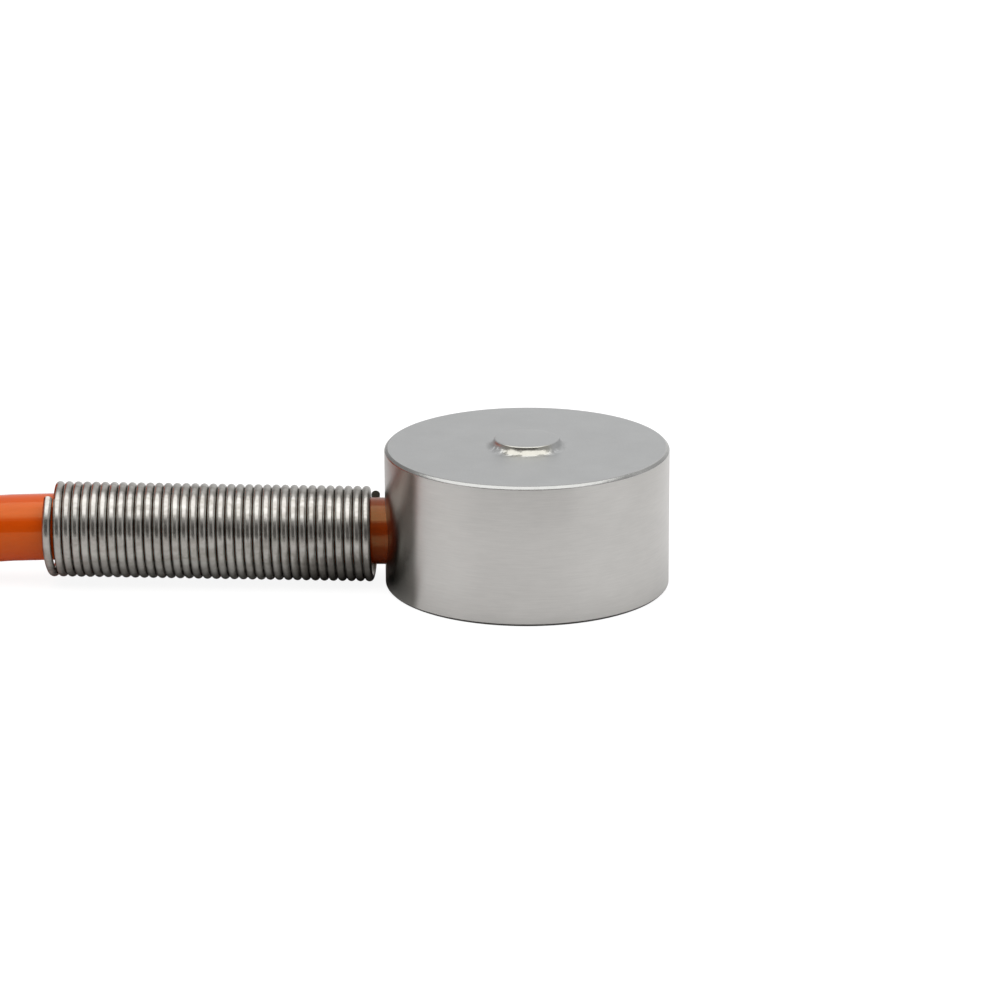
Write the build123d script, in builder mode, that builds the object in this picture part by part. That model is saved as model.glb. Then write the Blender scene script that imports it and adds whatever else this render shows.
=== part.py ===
from build123d import *
import math
import os

# Button load cell with strain gauges, in millimetres.
# The origin is the centre of the base face, +Z is the load axis and the cable leaves towards -X.

# Sensing body, turned from one bar
body_diameter = 12.7
body_height = 6.35
edge_chamfer = 0.1
wall_thickness = 1.35
web_thickness = 1.1
gauge_space = 1.05
ledge_width = 0.4

# Load button on top of the web
button_diameter = 2.9
button_height = 0.42
button_rim_height = 0.36
button_root_radius = 0.45
button_rim_round = 0.06

# Bottom cover, pressed into the base and welded round its edge
cover_thickness = 0.4
cover_recess = 0.1
cover_seat_width = 0.6
cover_clearance = 0.02
cover_chamfer = 0.08

# Cable and the crimp ring that holds it
cable_diameter = 3.0
bore_clearance = 0.025
ferrule_wall = 0.25
ferrule_length = 1.0
ferrule_clearance = 0.05
ferrule_floor_gap = 0.11
jacket_inside = 2.0
core_diameter = 0.75
core_gap = 0.01
core_seal_length = 0.5
core_seal_margin = 0.15
core_bend_x = 0.2
core_bend_share = 0.6
core_end_clearance = 0.05

# Strain gauges under the web
gauge_length = 1.8
gauge_width = 1.3
gauge_carrier_thickness = 0.06
gauge_foil_thickness = 0.02
gauge_edge_margin = 0.25
gauge_centre_margin = 0.15
gauge_line_count = 5
gauge_line_width = 0.06
gauge_tab_size = 0.36
ribbon_width = 0.2
ribbon_thickness = 0.05
ribbon_bend_before = 0.35
ribbon_bend_after = 0.1
ribbon_foot = 0.45

# Terminal board against the ledge
board_thickness = 0.4
board_clearance = 0.05
board_flat_x = 1.0
pad_x = 2.2
pad_pitch = 1.6
solder_height = 0.7
solder_top_diameter = 1.2
solder_tip_diameter = 1.0
resistor_x = 3.55
resistor_y = 1.0
resistor_length = 1.6
resistor_width = 0.8
resistor_height = 0.45
resistor_cap = 0.3
resistor_cap_step = 0.02

# Strain relief spring, a close-wound sleeve that hangs on the cable
spring_wire = 0.39
spring_turn_gap = 0.013
spring_turns = 35.8
spring_clearance = 0.25
spring_sag_share = 0.54
spring_flat_depth = 0.05
spring_wall_gap = 0.5
spring_tilt = 0.77
spring_start_angle = 30.0

# Cable beside the coil, and the coil of stored cable with its tie
cable_level_run = 2.5
coil_centre_x = -51.0
coil_inner_radius = 12.15
coil_columns = 4
coil_layers = 4
coil_gap = 0.05
coil_layer_gap = 0.03
coil_top_columns = 2
coil_stub_x = -39.0
coil_last_turn = 97.0
coil_crossing = 45.0
tie_width = 3.0
tie_thickness = 0.35
tie_clearance = 0.02
tie_angle = 210.0
tie_twist_length = 6.0
tie_twist_size = 0.9

# Stripped leads at the far end
lead_length = 14.0
tip_length = 4.0
tip_diameter = 0.35
lead_fan = 1.15
lead_clearance = 0.02

# Sizes that follow
body_radius = body_diameter / 2
cavity_radius = body_radius - wall_thickness
upper_radius = cavity_radius - ledge_width
recess_radius = cavity_radius + cover_seat_width
cover_seat_z = cover_recess + cover_thickness
web_z = body_height - web_thickness
ledge_z = web_z - gauge_space
button_radius = button_diameter / 2
cable_radius = cable_diameter / 2
bore_radius = cable_radius + bore_clearance
ferrule_radius = cable_radius + ferrule_wall
ferrule_pocket_radius = ferrule_radius + ferrule_clearance
cable_z = cover_seat_z + ferrule_floor_gap + ferrule_radius
ferrule_seat_x = -(cavity_radius - ferrule_clearance)
jacket_end_x = -(cavity_radius - jacket_inside)
core_offset = (core_diameter + core_gap) / 2
board_z = ledge_z - board_thickness
cable_plane = Plane(origin=(0, 0, cable_z), x_dir=(0, 1, 0), z_dir=(1, 0, 0))


def bend_radii(points, share=0.45):
    """The radius at each inner point, as large as its two runs allow."""
    corners = [Vector(*p) for p in points]
    radii = []
    for before, here, after in zip(corners, corners[1:], corners[2:]):
        turn = math.radians((here - before).get_angle(after - here))
        shorter = min((here - before).length, (after - here).length)
        radii.append(share * shorter / math.tan(turn / 2))
    return radii


# Sensing body
root_rise = button_root_radius - button_rim_height
root_reach = math.sqrt(button_root_radius**2 - root_rise**2)
root_start = (button_radius + root_reach, body_height)
rim_point = (button_radius, body_height + button_rim_height)
root_middle_angle = math.acos(root_rise / button_root_radius) / 2
root_middle = (
    root_start[0] - button_root_radius * math.sin(root_middle_angle),
    body_height + button_root_radius * (1 - math.cos(root_middle_angle)),
)
crown_top = (0, body_height + button_height)
crown_rise = button_height - button_rim_height
crown_radius = (button_radius**2 + crown_rise**2) / (2 * crown_rise)
crown_middle_x = button_radius / 2
crown_middle = (
    crown_middle_x,
    crown_top[1] - crown_radius + math.sqrt(crown_radius**2 - crown_middle_x**2),
)

with BuildPart() as sensing_body:
    with BuildSketch(Plane.XZ) as body_profile:
        with BuildLine():
            Polyline(
                crown_top,
                (0, web_z),
                (upper_radius, web_z),
                (upper_radius, ledge_z),
                (cavity_radius, ledge_z),
                (cavity_radius, cover_seat_z),
                (recess_radius, cover_seat_z),
                (recess_radius, 0),
                (body_radius - edge_chamfer, 0),
                (body_radius, edge_chamfer),
                (body_radius, body_height - edge_chamfer),
                (body_radius - edge_chamfer, body_height),
                root_start,
            )
            ThreePointArc(root_start, root_middle, rim_point)
            ThreePointArc(rim_point, crown_middle, crown_top)
        make_face()
        fillet(body_profile.vertices().sort_by_distance(rim_point)[0], button_rim_round)
    revolve(axis=Axis.Z)
    # side bore for the cable, with a flat seat for the crimp ring at its inner mouth
    with BuildSketch(cable_plane.offset(-body_radius)):
        Circle(bore_radius)
    extrude(amount=body_radius, mode=Mode.SUBTRACT)
    with BuildSketch(cable_plane.offset(ferrule_seat_x)):
        Circle(ferrule_pocket_radius)
    extrude(amount=-ferrule_seat_x, mode=Mode.SUBTRACT)
sensing_body.part.label = "sensing_body"

# Bottom cover
with BuildPart() as bottom_cover:
    with BuildSketch(Plane.XY.offset(cover_recess)):
        Circle(recess_radius - cover_clearance)
    extrude(amount=cover_thickness)
    chamfer(bottom_cover.edges().group_by(Axis.Z)[0], cover_chamfer)
bottom_cover.part.label = "bottom_cover"

# Strain gauges: a carrier film with the foil grid and its two tabs, two near the centre, two at the rim
inner_gauge_y = gauge_centre_margin + gauge_length / 2
outer_gauge_y = upper_radius - gauge_edge_margin - gauge_length / 2
tab_x = gauge_width / 2 - gauge_tab_size / 2
tab_y = gauge_length / 2 - gauge_tab_size
grid_x = -gauge_tab_size / 2
grid_length = gauge_length - gauge_tab_size
grid_pitch = (gauge_width - 2 * gauge_tab_size) / gauge_line_count
foil_z = web_z - gauge_carrier_thickness
gauges = {}
for number, gauge_y in enumerate((inner_gauge_y, -inner_gauge_y, outer_gauge_y, -outer_gauge_y), 1):
    with BuildPart() as gauge:
        with BuildSketch(Plane.XY.offset(foil_z)):
            with Locations((0, gauge_y)):
                Rectangle(gauge_width, gauge_length)
        extrude(amount=gauge_carrier_thickness)
        with BuildSketch(Plane.XY.offset(foil_z)):
            with Locations((grid_x, gauge_y)):
                with GridLocations(grid_pitch, 0, gauge_line_count, 1):
                    Rectangle(gauge_line_width, grid_length)
            with Locations((tab_x, gauge_y - tab_y), (tab_x, gauge_y + tab_y)):
                Rectangle(gauge_tab_size, gauge_tab_size)
        extrude(amount=-gauge_foil_thickness)
    gauge.part.label = f"strain_gauge_{number}"
    gauges[gauge.part.label] = gauge.part

# Terminal board: a D of glass laminate under the ledge, clear of the cable
board_radius = cavity_radius - board_clearance
with BuildPart() as terminal_board:
    with BuildSketch(Plane.XY.offset(board_z)):
        Circle(board_radius)
        with Locations((board_flat_x - board_radius, 0)):
            Rectangle(2 * board_radius, 2 * board_radius, mode=Mode.SUBTRACT)
    extrude(amount=board_thickness)
terminal_board.part.label = "terminal_board"

# Ribbon leads from the gauge tabs down to the top of the board
ribbon_line = [
    (tab_x - gauge_tab_size / 4, foil_z - gauge_foil_thickness - ribbon_thickness),
    (board_flat_x - ribbon_bend_before, foil_z - gauge_foil_thickness - ribbon_thickness),
    (board_flat_x + ribbon_bend_after, ledge_z),
    (board_flat_x + ribbon_bend_after + ribbon_foot, ledge_z),
]
with BuildPart() as gauge_ribbons:
    for gauge_y in (inner_gauge_y, -inner_gauge_y, outer_gauge_y, -outer_gauge_y):
        for side in (-1, 1):
            with BuildSketch(Plane.XZ.offset(-(gauge_y + side * tab_y))):
                with BuildLine():
                    Polyline(
                        *ribbon_line,
                        *[(x, z + ribbon_thickness) for x, z in reversed(ribbon_line)],
                        close=True,
                    )
                make_face()
            extrude(amount=ribbon_width / 2, both=True)
gauge_ribbons.part.label = "gauge_ribbons"

# Balance resistors on the underside of the board: a ceramic body with a metal cap at each end
resistors = {}
for name, centre_y in (("zero_resistor", resistor_y), ("span_resistor", -resistor_y)):
    with BuildPart() as resistor:
        with BuildSketch(Plane.XY.offset(board_z)):
            with Locations((resistor_x, centre_y)):
                Rectangle(resistor_width, resistor_length)
        extrude(amount=-(resistor_height - resistor_cap_step))
        cap_shift = (resistor_length - resistor_cap) / 2
        with BuildSketch(Plane.XY.offset(board_z)):
            with Locations((resistor_x, centre_y - cap_shift), (resistor_x, centre_y + cap_shift)):
                Rectangle(resistor_width + 2 * resistor_cap_step, resistor_cap)
        extrude(amount=-resistor_height)
    resistor.part.label = name
    resistors[name] = resistor.part

# Cores inside the body, from the end of the jacket to the underside of the board
core_radius = core_diameter / 2
core_end_z = board_z - core_radius - core_end_clearance
core_places = {
    "core_red": (-1, 1, -1.5),
    "core_black": (-1, -1, -0.5),
    "core_green": (1, -1, 0.5),
    "core_white": (1, 1, 1.5),
}
cores = {}
for name, (side, row, pad) in core_places.items():
    start = (jacket_end_x, side * core_offset, cable_z + row * core_offset)
    bend = (core_bend_x, core_bend_share * pad * pad_pitch, start[2])
    end = (pad_x, pad * pad_pitch, core_end_z)
    with BuildPart() as core:
        with BuildLine() as route:
            FilletPolyline(start, bend, end, radius=bend_radii([start, bend, end]))
        with BuildSketch(cable_plane.offset(jacket_end_x)):
            with Locations((start[1], start[2] - cable_z)):
                Circle(core_radius)
        sweep()
    core.part.label = name
    cores[name] = core.part

# Solder joints that hold the core ends to the board
with BuildPart() as solder_joints:
    for row in range(4):
        pad_y = (row - 1.5) * pad_pitch
        with BuildSketch(Plane.XY.offset(board_z)):
            with Locations((pad_x, pad_y)):
                Circle(solder_top_diameter / 2)
        with BuildSketch(Plane.XY.offset(board_z - solder_height)):
            with Locations((pad_x, pad_y)):
                Circle(solder_tip_diameter / 2)
        loft()
    for core_part in cores.values():
        add(core_part, mode=Mode.SUBTRACT)
solder_joints.part.label = "solder_joints"

# Crimp ring on the jacket, seated on the inner mouth of the bore
with BuildPart() as cable_ferrule:
    with BuildSketch(cable_plane.offset(ferrule_seat_x)):
        Circle(ferrule_radius)
        Circle(cable_radius, mode=Mode.SUBTRACT)
    extrude(amount=ferrule_length)
cable_ferrule.part.label = "cable_ferrule"

# Bead of sealing resin over the end of the jacket, where the cores come out
core_circle = core_offset * math.sqrt(2) + core_radius
with BuildPart() as core_seal:
    with BuildSketch(cable_plane.offset(jacket_end_x)):
        Circle(cable_radius - core_seal_margin / 2)
    with BuildSketch(cable_plane.offset(jacket_end_x + core_seal_length)):
        Circle(core_circle + core_seal_margin)
    loft()
    for core_part in cores.values():
        add(core_part, mode=Mode.SUBTRACT)
core_seal.part.label = "core_seal"

# Strain relief spring: a right-hand helix of close-wound wire. It is swept standing up and then laid along
# the cable. The wire is round; its many turns get the three flats of a ridge, with the crest outwards.
spring_pitch = spring_wire + spring_turn_gap
spring_radius = cable_radius + spring_clearance + spring_wire / 2
spring_drop = spring_sag_share * spring_clearance
spring_length = spring_turns * spring_pitch
spring_axis_dir = Vector(math.cos(math.radians(spring_tilt)), 0, -math.sin(math.radians(spring_tilt)))
spring_body_end = Vector(-(body_radius + spring_wall_gap), 0, cable_z - spring_drop)
spring_far_end = spring_body_end - spring_axis_dir * spring_length
spring_up = Vector(spring_axis_dir.Z * -1, 0, spring_axis_dir.X)
spring_start_dir = spring_up.rotate(Axis((0, 0, 0), spring_axis_dir), spring_start_angle)
spring_plane = Plane(origin=spring_far_end, x_dir=spring_start_dir, z_dir=spring_axis_dir)
with BuildPart(mode=Mode.PRIVATE) as upright_spring:
    with BuildLine() as spring_line:
        Helix(pitch=spring_pitch, height=spring_length, radius=spring_radius)
    with BuildSketch(Plane(origin=spring_line.line @ 0, x_dir=(1, 0, 0), z_dir=spring_line.line % 0)):
        with BuildLine():
            Polyline(
                (-spring_flat_depth, -spring_wire / 2),
                (spring_wire / 2, 0),
                (-spring_flat_depth, spring_wire / 2),
                close=True,
            )
        make_face()
    sweep(is_frenet=True)
with BuildPart() as strain_relief_spring:
    add(spring_plane.from_local_coords(upright_spring.part))
strain_relief_spring.part.label = "strain_relief_spring"

# Coil: four columns of turns in full layers, then two columns and a last part turn on top
coil_lift = tie_thickness + tie_clearance
coil_pitch = cable_diameter + coil_gap
layer_pitch = cable_diameter + coil_layer_gap
coil_outer_radius = coil_inner_radius + (coil_columns - 1) * coil_pitch
coil_centre = Vector(coil_centre_x, coil_outer_radius, 0)
coil_axis = Axis(coil_centre, (0, 0, 1))
coil_first_z = coil_lift + cable_radius
coil_top_z = coil_first_z + coil_layers * layer_pitch
coil_in = coil_inner_radius - cable_radius
coil_out = coil_outer_radius + cable_radius
coil_full_z = coil_top_z - layer_pitch + cable_radius
coil_high_z = coil_top_z + cable_radius
last_turn_radius = coil_outer_radius - coil_top_columns * coil_pitch
top_in = last_turn_radius + coil_pitch - cable_radius


def coil_point(angle, radius, height):
    """A point beside the coil's axis, with the angle in degrees counted from +X."""
    turn = math.radians(angle)
    return coil_centre + Vector(radius * math.cos(turn), radius * math.sin(turn), height)


last_turn_start = -90 + coil_crossing
last_turn_end = -90 - coil_last_turn
end_plane = Plane(
    origin=coil_centre,
    x_dir=coil_point(last_turn_end, 1, 0) - coil_centre,
    z_dir=coil_point(last_turn_end - 90, 1, 0) - coil_centre,
)
coil_plane = Plane(origin=coil_centre, x_dir=(1, 0, 0), z_dir=(0, -1, 0))
with BuildPart() as cable_coil:
    with BuildSketch(coil_plane):
        with BuildLine():
            Polyline(
                (coil_in, coil_lift),
                (coil_out, coil_lift),
                (coil_out, coil_high_z),
                (top_in, coil_high_z),
                (top_in, coil_full_z),
                (coil_in, coil_full_z),
                close=True,
            )
        make_face()
    revolve(axis=coil_axis)
    with BuildSketch(end_plane):
        with BuildLine():
            Polyline(
                (last_turn_radius - cable_radius, coil_full_z),
                (top_in, coil_full_z),
                (top_in, coil_high_z),
                (last_turn_radius - cable_radius, coil_high_z),
                close=True,
            )
        make_face()
    revolve(axis=coil_axis, revolution_arc=coil_last_turn + coil_crossing)
    with BuildSketch(Plane(origin=(coil_centre_x, 0, coil_first_z), x_dir=(0, 1, 0), z_dir=(1, 0, 0))):
        Circle(cable_radius)
    extrude(amount=coil_stub_x - coil_centre_x)
cable_coil.part.label = "cable_coil"

# Cable from the crimp ring through the bore and the spring to the coil
cable_route = [
    (jacket_end_x, 0, cable_z),
    (-7.5, 0, cable_z),
    (-15.5, 0, 2.475),
    (-23.5, 0, 2.56),
    (-28.5, 0, 1.85),
    (-33.0, 0, 1.5),
    (coil_stub_x + cable_level_run, 0, coil_first_z),
    (coil_stub_x, 0, coil_first_z),
]
cable_radii = bend_radii(cable_route)
print("cable bend radii", [round(r, 1) for r in cable_radii])
with BuildPart() as cable_run:
    with BuildLine() as cable_line:
        FilletPolyline(*cable_route, radius=cable_radii)
    with BuildSketch(cable_plane.offset(jacket_end_x)):
        Circle(cable_radius)
    sweep()
cable_run.part.label = "cable_run"
print("cable length", cable_line.wire().length, "by volume", cable_run.part.volume / (math.pi * cable_radius**2))

# Stripped leads: they leave the end of the jacket on the last turn, dip and fan out on the layer below
lead_floor_z = coil_full_z + core_radius + lead_clearance
lead_steps = (0.0, 0.3, 0.68, 1.0)
lead_spread = (0.0, 0.5, 1.0, 1.0)
lead_inset = (0.0, 0.5, 1.3, 2.0)
lead_dip = (0.0, 0.1, 0.9, 1.0)
lead_places = {
    "lead_red": (1, 1, 1.5),
    "lead_black": (-1, 1, -1.5),
    "lead_green": (1, -1, 0.5),
    "lead_white": (-1, -1, -0.5),
}
lead_turn = math.degrees(lead_length / last_turn_radius)
leads = {}
tip_starts = []
for name, (side, row, fan) in lead_places.items():
    points = []
    for step, spread, inset, dip in zip(lead_steps, lead_spread, lead_inset, lead_dip):
        aside = side * core_offset * (1 - spread) + fan * lead_fan * spread - inset
        start_z = coil_top_z + row * core_offset
        height = start_z + dip * (lead_floor_z - start_z)
        points.append(coil_point(last_turn_end - step * lead_turn, last_turn_radius + aside, height))
    with BuildPart() as lead:
        with BuildLine() as route:
            FilletPolyline(*points, radius=bend_radii(points))
        with BuildSketch(end_plane):
            with Locations((last_turn_radius + side * core_offset, coil_top_z + row * core_offset)):
                Circle(core_radius)
        sweep()
    lead.part.label = name
    leads[name] = lead.part
    tip_starts.append((route.line @ 1, route.line % 1))

# Tinned ends of the conductors, one on each lead
with BuildPart() as tinned_tips:
    for start, direction in tip_starts:
        with BuildSketch(Plane(origin=start, z_dir=direction)):
            Circle(tip_diameter / 2)
        extrude(amount=tip_length)
tinned_tips.part.label = "tinned_tips"

# Tie: a flat strap round the coil's section, closed by a short twist on the outside
tie_plane = Plane(
    origin=coil_centre,
    x_dir=coil_point(tie_angle, 1, 0) - coil_centre,
    z_dir=coil_point(tie_angle - 90, 1, 0) - coil_centre,
)
tie_in = math.sqrt(coil_in**2 - (tie_width / 2) ** 2) - tie_clearance
tie_out = coil_out + tie_clearance
tie_shoulder = math.sqrt((last_turn_radius - cable_radius) ** 2 - (tie_width / 2) ** 2) - tie_clearance
tie_twist_z = coil_full_z / 2
with BuildPart() as coil_tie:
    with BuildSketch(tie_plane):
        with BuildLine() as strap_line:
            Polyline(
                (tie_in, coil_lift - tie_clearance),
                (tie_out, coil_lift - tie_clearance),
                (tie_out, coil_high_z + tie_clearance),
                (tie_shoulder, coil_high_z + tie_clearance),
                (tie_in, coil_full_z + tie_clearance),
                close=True,
            )
        make_face()
        offset(amount=tie_thickness, kind=Kind.INTERSECTION)
        with BuildLine():
            add(strap_line.line)
        make_face(mode=Mode.SUBTRACT)
        with Locations((tie_out + tie_thickness + tie_twist_length / 2, tie_twist_z)):
            Rectangle(tie_twist_length, tie_twist_size)
    extrude(amount=tie_width / 2, both=True)
    twist_side = (tie_width - tie_twist_size) / 2
    for side in (-1, 1):
        with BuildSketch(tie_plane.offset(side * (tie_twist_size + twist_side) / 2)):
            with Locations((tie_out + tie_thickness + tie_twist_length / 2, tie_twist_z)):
                Rectangle(tie_twist_length, 2 * tie_twist_size)
        extrude(amount=twist_side / 2, both=True, mode=Mode.SUBTRACT)
coil_tie.part.label = "coil_tie"

pieces = [
    sensing_body.part,
    bottom_cover.part,
    *gauges.values(),
    gauge_ribbons.part,
    terminal_board.part,
    *resistors.values(),
    solder_joints.part,
    *cores.values(),
    cable_ferrule.part,
    core_seal.part,
    strain_relief_spring.part,
    cable_run.part,
    cable_coil.part,
    *leads.values(),
    tinned_tips.part,
    coil_tie.part,
]
os.makedirs("parts", exist_ok=True)
for piece in pieces:
    export_step(piece, f"parts/{piece.label}.step")
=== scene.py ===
"""A button load cell: a turned steel puck, its cable and the spring that guards it. Metres, +Z up."""
import math

import bmesh
import bpy
from mathutils import Matrix, Quaternion, Vector


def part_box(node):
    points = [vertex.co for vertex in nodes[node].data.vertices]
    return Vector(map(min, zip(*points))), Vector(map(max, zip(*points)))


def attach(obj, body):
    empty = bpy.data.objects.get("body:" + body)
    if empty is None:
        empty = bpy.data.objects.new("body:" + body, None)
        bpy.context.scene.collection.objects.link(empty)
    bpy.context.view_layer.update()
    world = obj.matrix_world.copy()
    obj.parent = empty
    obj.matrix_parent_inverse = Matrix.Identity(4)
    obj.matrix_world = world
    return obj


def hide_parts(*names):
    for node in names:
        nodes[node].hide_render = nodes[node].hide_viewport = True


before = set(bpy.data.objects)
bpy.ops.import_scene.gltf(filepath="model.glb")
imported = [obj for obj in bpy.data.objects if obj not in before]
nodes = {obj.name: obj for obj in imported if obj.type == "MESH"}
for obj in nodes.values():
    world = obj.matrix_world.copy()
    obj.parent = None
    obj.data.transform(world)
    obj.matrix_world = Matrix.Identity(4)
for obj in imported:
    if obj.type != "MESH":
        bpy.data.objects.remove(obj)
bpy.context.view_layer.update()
MM = 0.001
MICRON = 0.000001

# Sizes of the turned body, in millimetres
BODY_RADIUS = (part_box("sensing_body")[1].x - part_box("sensing_body")[0].x) / 2 / MM
BUTTON_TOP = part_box("sensing_body")[1].z / MM
BUTTON_HEIGHT = 0.42
BODY_TOP = BUTTON_TOP - BUTTON_HEIGHT
BUTTON_RADIUS = 1.45
BUTTON_RIM = 0.36
ROOT_RADIUS = 0.45
EDGE_CHAMFER = 0.1
RIM_CHAMFER = 0.12
WALL = 1.35
WEB = 1.1
LEDGE_DROP = 1.05
LEDGE_WIDTH = 0.4
COVER_THICKNESS = 0.4
COVER_RECESS = 0.1
COVER_SEAT = 0.6
COVER_GAP = 0.02
COVER_CHAMFER = 0.08
# Rings in the middle of the top face and of the cover's, which keep their long triangles evenly shaded
TOP_RING = 4.0
COVER_RING = 2.5
BORE_GAP = 0.025
# How far the bore's cutter reaches past the wall, inwards and outwards
BORE_INWARDS = 0.3
BORE_OUTWARDS = 1.0
# How far the corners of the rim, the base edge and the button are rounded
EDGE_EASE = 0.035
BUTTON_EASE = 0.06
# Pieces of the crown's arc and of the root's
CROWN_STEPS = 16
ROOT_STEPS = 14

# Cable, spring and coil, in millimetres
CABLE_RADIUS = 1.5
CABLE_Z = 2.36
CABLE_START_X = -3.0
SPRING_WIRE = 0.395
SPRING_PITCH = 0.4041
SPRING_TURNS = 35.8
SPRING_RADIUS = 1.945
SPRING_SAG = 0.135
SPRING_WALL_GAP = 0.5
SPRING_TILT = math.radians(0.77)
SPRING_START = math.radians(30)
# The first part turn stands off from the next: how far, over how much of a turn and from which phase
SPRING_OPENING = 0.08
SPRING_OPENED_TURN = 0.4
SPRING_OPENED_PHASE = 0.55
COIL_CENTRE = Vector((-51.0, 21.3, 0))
COIL_COLUMNS = (12.15, 15.2, 18.25, 21.3)
COIL_FIRST_Z = 1.87
COIL_LAYER = 3.03
CORE_RADIUS = 0.375
CORE_OFFSET = 0.38
TIP_RADIUS = 0.175
TIP_LENGTH = 4.0
TIP_STRANDS = 6
TIP_GROOVE = 0.03
TIP_PITCH = 3.0


def linear(hex_colour):
    """The linear colour of an sRGB hex value."""
    values = [int(hex_colour[i:i + 2], 16) / 255 for i in (1, 3, 5)]
    return [v / 12.92 if v <= 0.04045 else ((v + 0.055) / 1.055) ** 2.4 for v in values] + [1.0]


def empty_tree(owner):
    """The node tree of a material or a world, with nothing in it."""
    owner.use_nodes = True
    owner.node_tree.nodes.clear()
    return owner.node_tree


def add_node(tree, kind, inputs=None, stops=(), **settings):
    """Adds one node. Settings are its own properties; inputs are values, or sockets to link from.

    Stops are the (position, hex colour) pairs of a colour ramp.
    """
    made = tree.nodes.new(kind)
    for name, value in settings.items():
        setattr(made, name, value)
    for socket, value in (inputs or {}).items():
        if isinstance(value, bpy.types.NodeSocket):
            tree.links.new(value, made.inputs[socket])
        else:
            made.inputs[socket].default_value = value
    for number, (position, colour) in enumerate(stops):
        elements = made.color_ramp.elements
        element = elements[number] if number < 2 else elements.new(position)
        element.position = position
        element.color = linear(colour)
    return made


# Materials

WALL_ROUGHNESS = 0.3
LAPPED_ROUGHNESS = 0.42
CROWN_ROUGHNESS = 0.36
ROOT_ROUGHNESS = 0.24
# How far along X the polished root reaches: none of it from the first value on, all of it up to the second
ROOT_REACH = (1.3, 0.85)
# The painted shade in the slot between the spring and the body
SLOT_SHADE_COLOUR = "#A8A29C"
# The wall's painted shade on the side where the cable leaves: its colour, and how far from the XZ plane it
# ends and is full
SIDE_SHADE = "#C2C2C0"
SIDE_SHADE_EDGE = (4.35, 3.9)
# Where along X the rim's lighter part starts and is full: there the edge's painted shade is let off
UNDIMMED_EDGE = (4.3, 5.1)


def surface(name, **sockets):
    """A material with one Principled shader; returns the material, its tree and the shader."""
    made = bpy.data.materials.new(name)
    tree = empty_tree(made)
    shader = add_node(tree, "ShaderNodeBsdfPrincipled")
    for socket, value in sockets.items():
        shader.inputs[socket.replace("_", " ")].default_value = value
    add_node(tree, "ShaderNodeOutputMaterial", {"Surface": shader.outputs[0]})
    return made, tree, shader


def object_axis(tree, axis):
    """The object's own coordinate along X, Y or Z, in metres."""
    place = add_node(tree, "ShaderNodeTexCoord").outputs["Object"]
    return add_node(tree, "ShaderNodeSeparateXYZ", {"Vector": place}).outputs[axis]


def distance_aside(tree, axis):
    """The distance from the object's middle along X, Y or Z, in metres."""
    return add_node(tree, "ShaderNodeMath", {0: object_axis(tree, axis)}, operation="ABSOLUTE").outputs[0]


def average(tree, first, second):
    """The mean of two values."""
    total = add_node(tree, "ShaderNodeMath", {0: first, 1: second}, operation="ADD").outputs[0]
    return add_node(tree, "ShaderNodeMath", {0: total, 1: 0.5}, operation="MULTIPLY").outputs[0]


def stretched_noise(tree, scale, detail=4.0, roughness=0.6):
    """Noise on Object coordinates with its own scale along each axis, in cycles per metre."""
    place = add_node(tree, "ShaderNodeTexCoord").outputs["Object"]
    mapping = add_node(tree, "ShaderNodeMapping", {"Vector": place, "Scale": scale})
    return add_node(
        tree, "ShaderNodeTexNoise",
        {"Vector": mapping.outputs[0], "Scale": 1.0, "Detail": detail, "Roughness": roughness},
    ).outputs["Fac"]


def dress(tree, shader, colour, height, depth, normal=None):
    """Links the colour to the shader, and a relief of that depth in metres."""
    tree.links.new(colour, shader.inputs["Base Color"])
    bump = add_node(tree, "ShaderNodeBump", {"Height": height, "Distance": depth})
    tree.links.new(bump.outputs[0], shader.inputs["Normal"])
    if normal:
        tree.links.new(normal, bump.inputs["Normal"])


def tinted(tree, factor, hex_colour, darker, lighter):
    """The colour, darker by a share of itself where the factor is 0 and lighter by one where it is 1."""
    light = linear(hex_colour)[:3]
    ends = {6: [v * (1 - darker) for v in light] + [1], 7: [min(1, v * (1 + lighter)) for v in light] + [1]}
    return add_node(tree, "ShaderNodeMix", {"Factor": factor, **ends}, data_type="RGBA").outputs[2]


def darkened(tree, colour, where, shade):
    """The colour, multiplied by the shade where the value is 1."""
    ends = {6: linear("#FFFFFF"), 7: linear(shade)}
    veil = add_node(tree, "ShaderNodeMix", {"Factor": where, **ends}, data_type="RGBA").outputs[2]
    return add_node(tree, "ShaderNodeMix", {"Factor": 1.0, 6: colour, 7: veil}, data_type="RGBA",
                    blend_type="MULTIPLY").outputs[2]


def between(tree, value, none, full):
    """0 where the value is at none or before it, 1 from full on and smooth between; both in millimetres."""
    inputs = {"Value": value, "From Min": none * MM, "From Max": full * MM}
    return add_node(tree, "ShaderNodeMapRange", inputs, interpolation_type="SMOOTHSTEP").outputs[0]


def slot_shade(tree, colour, start, end):
    """The colour, darker in the narrow slot between the spring and the body: painted shade where the slot
    keeps the light out.
    """
    return darkened(tree, colour, between(tree, object_axis(tree, "X"), start, end), SLOT_SHADE_COLOUR)


def shaded_left_side(tree, colour):
    """The colour, darker on the side where the cable leaves: painted shade that stands in for the dark
    spring and cable this side mirrors.
    """
    near = between(tree, distance_aside(tree, "Y"), *SIDE_SHADE_EDGE)
    left = add_node(tree, "ShaderNodeMath", {0: object_axis(tree, "X"), 1: 0.0}, operation="LESS_THAN")
    there = add_node(tree, "ShaderNodeMath", {0: near, 1: left.outputs[0]}, operation="MULTIPLY").outputs[0]
    return darkened(tree, colour, there, SIDE_SHADE)


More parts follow.
